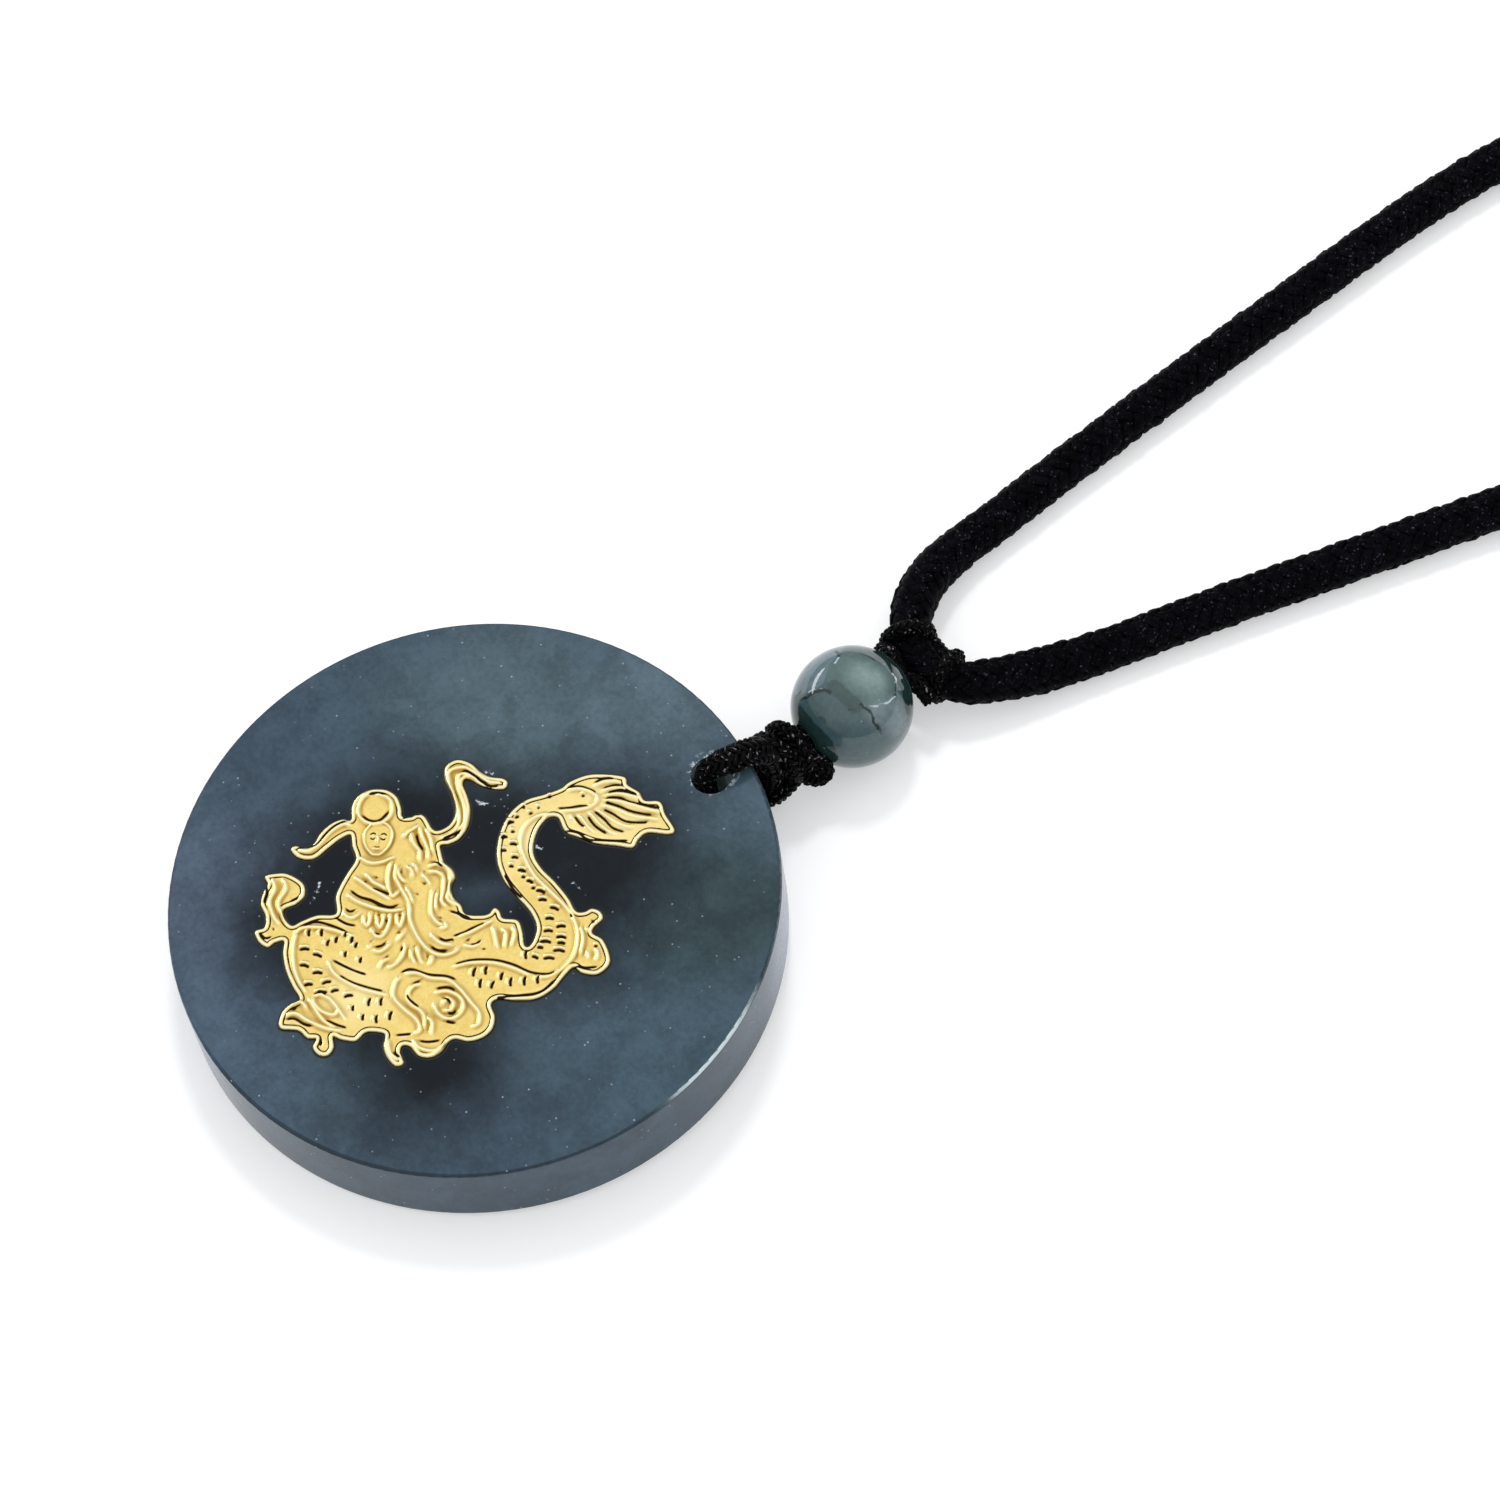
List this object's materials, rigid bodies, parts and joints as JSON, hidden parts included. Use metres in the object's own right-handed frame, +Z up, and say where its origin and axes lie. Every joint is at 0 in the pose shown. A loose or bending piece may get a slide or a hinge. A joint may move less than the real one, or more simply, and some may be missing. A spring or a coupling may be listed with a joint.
{
  "type": "jade dragon pendant necklace",
  "caption": "Round jade disc pendant with an inlaid gold rider on a dragon, a jade bead above it, and a black braided neck cord laid out as a closed loop.",
  "frame": {"origin": "on the table that the necklace lies on, in the middle of the footprint of the pendant: disc, loop, bead and hitch, without the neck cord and its clasp", "axes": "+Y from the disc through the bead to the neck cord, +Z up from the table, +X to the right across the disc"},
  "size_m": [0.044, 0.2595, 0.0099],
  "materials": {
    "jade": "polished grey-green jade, mottled with lighter and darker patches",
    "bead_jade": "polished green-grey jade with sharp dark veins",
    "gold": "pale satin gold sheet with polished raised lines",
    "thin_cord": "fine black plaited cord with a slight sheen",
    "neck_cord": "black herringbone braid with a waxy sheen",
    "clasp_steel": "plain brushed steel tube"
  },
  "bodies": {
    "root": {"jade_disc": "jade", "gold_dragon": "gold", "hanging_loop": "thin_cord", "jade_bead": "bead_jade", "hitch": "thin_cord", "neck_cord": "neck_cord", "clasp": "clasp_steel"}
  },
  "joints": []
}
